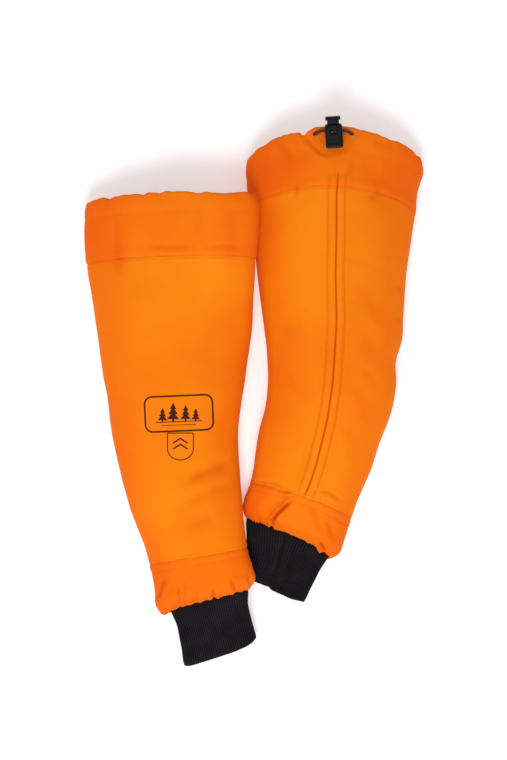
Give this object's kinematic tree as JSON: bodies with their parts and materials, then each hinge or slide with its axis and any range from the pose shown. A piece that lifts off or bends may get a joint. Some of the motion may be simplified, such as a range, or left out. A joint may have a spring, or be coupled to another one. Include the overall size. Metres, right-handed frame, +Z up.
{
  "type": "chainsaw protective arm sleeves",
  "caption": "Padded high-visibility arm sleeves for chainsaw work, each with a drawcord hem and cord lock at the upper arm and a rib-knit cuff at the wrist.",
  "frame": {"origin": "on the surface the sleeves lie on, under the middle of the pair's box", "axes": "+Y from the cuffs to the upper arms, +X from the left sleeve to the right one, +Z up from the surface"},
  "size_m": [0.353, 0.5738, 0.0788],
  "materials": {
    "hi_vis_cloth": "coated twill",
    "hem_cloth": "gathered twill",
    "band_cloth": "gathered twill",
    "rib_knit": "rib knit",
    "lining_cloth": "plain weave",
    "drawcord": "braided",
    "lock_plastic": "moulded",
    "plunger_plastic": "moulded",
    "spring_steel": "drawn wire",
    "cut_stopping_fibre": "loose fibre"
  },
  "bodies": {
    "left_sleeve": {"left_outer_shell": "hi_vis_cloth", "left_upper_band": "hem_cloth", "left_lower_band": "band_cloth", "left_knit_cuff": "rib_knit", "left_lining": "lining_cloth", "left_drawcord": "drawcord", "left_protective_layer_1": "cut_stopping_fibre", "left_protective_layer_2": "cut_stopping_fibre", "left_protective_layer_3": "cut_stopping_fibre", "left_protective_layer_4": "cut_stopping_fibre", "left_protective_layer_5": "cut_stopping_fibre"},
    "left_cord_lock": {"left_lock_body": "lock_plastic", "left_cord_ends": "drawcord", "left_lock_spring": "spring_steel"},
    "left_lock_plunger": {"left_lock_plunger": "plunger_plastic"},
    "right_sleeve": {"right_outer_shell": "hi_vis_cloth", "right_upper_band": "hem_cloth", "right_lower_band": "band_cloth", "right_knit_cuff": "rib_knit", "right_lining": "lining_cloth", "right_drawcord": "drawcord", "right_protective_layer_1": "cut_stopping_fibre", "right_protective_layer_2": "cut_stopping_fibre", "right_protective_layer_3": "cut_stopping_fibre", "right_protective_layer_4": "cut_stopping_fibre", "right_protective_layer_5": "cut_stopping_fibre"},
    "right_cord_lock": {"right_lock_body": "lock_plastic", "right_cord_ends": "drawcord", "right_lock_spring": "spring_steel"},
    "right_lock_plunger": {"right_lock_plunger": "plunger_plastic"}
  },
  "joints": [
    {"name": "sleeves_apart", "type": "slide", "parent": "left_sleeve", "child": "right_sleeve", "axis": [1, 0, 0], "range_m": [0, 0.15]},
    {"name": "left_lock_swing", "type": "hinge", "parent": "left_sleeve", "child": "left_cord_lock", "pos_m": [-0.0793, 0.19088, 0.01865], "axis": [0.9659, 0.0494, 0.2541], "range_deg": [-12, 10]},
    {"name": "left_plunger_press", "type": "slide", "parent": "left_cord_lock", "child": "left_lock_plunger", "axis": [0.032, -0.9903, -0.1353], "range_m": [0, 0.004], "stiffness_N_per_m": 300, "springref_m": -0.004, "deforming": ["left_lock_spring"]},
    {"name": "right_lock_swing", "type": "hinge", "parent": "right_sleeve", "child": "right_cord_lock", "pos_m": [0.08349, 0.27158, 0.06436], "axis": [-1, 0, 0], "range_deg": [0, 45]},
    {"name": "right_plunger_press", "type": "slide", "parent": "right_cord_lock", "child": "right_lock_plunger", "axis": [0.0698, -0.9824, -0.1732], "range_m": [0, 0.004], "stiffness_N_per_m": 300, "springref_m": -0.004, "deforming": ["right_lock_spring"]}
  ]
}
